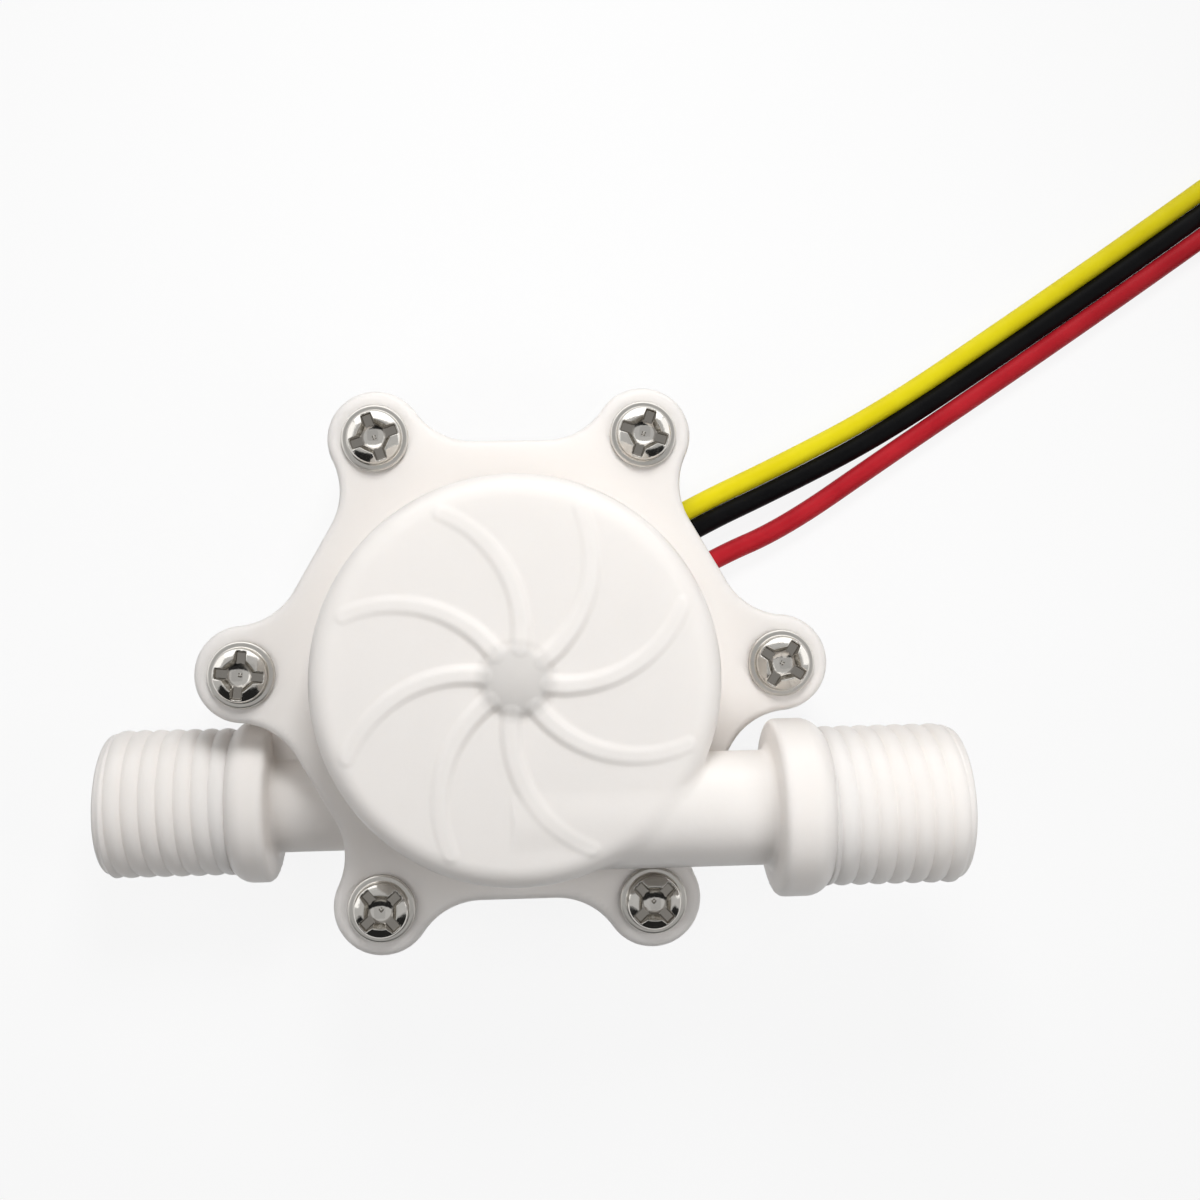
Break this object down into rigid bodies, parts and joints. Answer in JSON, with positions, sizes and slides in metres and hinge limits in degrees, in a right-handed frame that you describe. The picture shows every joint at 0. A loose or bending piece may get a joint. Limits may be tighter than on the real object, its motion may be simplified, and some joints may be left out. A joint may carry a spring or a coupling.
{
  "type": "water flow sensor",
  "caption": "Inline water flow sensor: screwed round shells with swirl ribs on the cover, offset threaded ports, an inner paddle rotor, a potted board and loose leads with a connector.",
  "frame": {"origin": "where the rotor axis meets the flat back face of the base", "axes": "+Z along the rotor axis towards the cover's dome, +X along the water's way from inlet to outlet, +Y away from the two ports"},
  "size_m": [0.1148, 0.0653, 0.0225],
  "materials": {
    "housing_plastic": "satin moulded",
    "rotor_plastic": "satin moulded",
    "screw_steel": "nickel plated",
    "shaft_steel": "ground",
    "seal_rubber": "soft satin",
    "washer_plastic": "satin",
    "magnet": "sintered, matt",
    "board": "solder mask",
    "chip_black": "moulded",
    "tinned_metal": "tinned",
    "ceramic": "sintered",
    "potting_resin": "cast, glossy",
    "lead_yellow": "soft satin",
    "lead_black": "soft satin",
    "lead_red": "soft satin",
    "connector_plastic": "moulded",
    "contact_metal": "tinned brass"
  },
  "bodies": {
    "housing": {"cover": "housing_plastic", "base": "housing_plastic", "body_seal": "seal_rubber", "cover_screws": "screw_steel", "rotor_shaft": "shaft_steel", "lower_thrust_washer": "washer_plastic", "upper_thrust_washer": "washer_plastic", "sensor_board": "board", "hall_chip": "chip_black", "chip_legs": "tinned_metal", "board_capacitor": "ceramic", "board_resistor": "chip_black", "lead_ends": "lead_black", "solder_joints": "tinned_metal", "potting": "potting_resin", "lead_coil": "lead_black", "wire_yellow": "lead_yellow", "wire_black": "lead_black", "wire_red": "lead_red", "connector_housing": "connector_plastic", "connector_contacts": "contact_metal"},
    "rotor": {"rotor": "rotor_plastic", "rotor_magnets": "magnet"}
  },
  "joints": [
    {"name": "rotor_spin", "type": "hinge", "parent": "housing", "child": "rotor", "pos_m": [0, 0, 0.01135], "axis": [0, 0, 1], "continuous": true}
  ]
}
